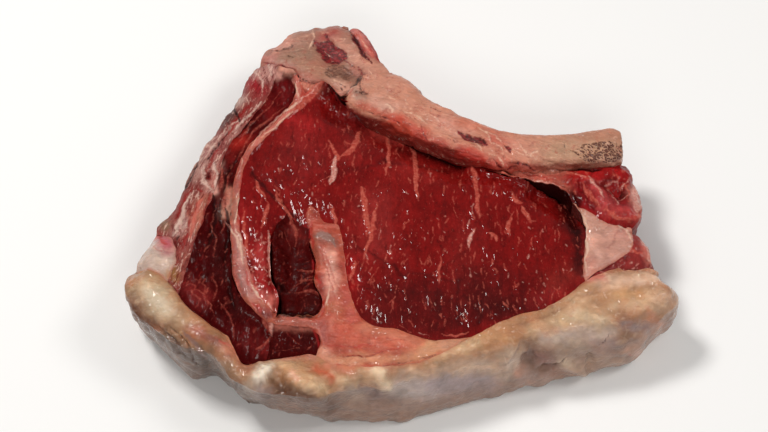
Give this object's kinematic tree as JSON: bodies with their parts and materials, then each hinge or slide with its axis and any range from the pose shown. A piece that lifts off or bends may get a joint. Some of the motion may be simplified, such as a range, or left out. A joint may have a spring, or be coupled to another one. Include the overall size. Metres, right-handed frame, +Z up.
{
  "type": "beef rib steak",
  "caption": "Thick raw bone-in rib steak: a large marbled red eye muscle under a curved rib bone, with a sawn chine bone at one corner and a deep fat cap along the opposite edge.",
  "frame": {"origin": "middle of the steak's bounding box, on the surface that its lower cut face lies on", "axes": "+X along the longest side from the tendon to the rib's sawn end, +Y across it from the fat cap towards the chine bone, +Z up through the thickness"},
  "size_m": [0.2582, 0.2104, 0.0456],
  "materials": {
    "fat_cap": "smooth, slightly greasy outer fat, cream to tan with a lilac-grey skin side",
    "eye_muscle": "wet dark red lean with pale marbling",
    "seam_fat": "salmon-pink fibrous fat",
    "seam_strip": "pale pink gristle with grey patches",
    "side_muscle": "wet red lean with fine marbling",
    "inner_muscle": "wet, nearly black-red lean",
    "lower_muscle": "wet dark red lean",
    "outer_muscle": "wet dark red coarse lean",
    "side_rim": "ragged pale pink tissue and fat scraps",
    "backstrap_tendon": "off-white tendon with a crimson spot",
    "chine_bone": "sawn bone, grey-pink with a dark red marrow patch",
    "chine_meat": "moist pink-red meat",
    "rib_bone": "bone with a thin pink skin, bare beige and porous near its sawn end",
    "intercostal_meat": "wet bright red lean with fat scraps",
    "fascia_flap": "smooth cream-pink membrane",
    "tail_meat": "wet dark red lean"
  },
  "bodies": {
    "root": {"fat_cap": "fat_cap", "eye_muscle": "eye_muscle", "seam_fat": "seam_fat", "seam_strip": "seam_strip", "side_muscle": "side_muscle", "inner_muscle": "inner_muscle", "lower_muscle": "lower_muscle", "outer_muscle": "outer_muscle", "side_rim": "side_rim", "backstrap_tendon": "backstrap_tendon", "chine_bone": "chine_bone", "chine_meat": "chine_meat", "rib_bone": "rib_bone", "intercostal_meat": "intercostal_meat", "fascia_flap": "fascia_flap", "tail_meat": "tail_meat"}
  },
  "joints": []
}
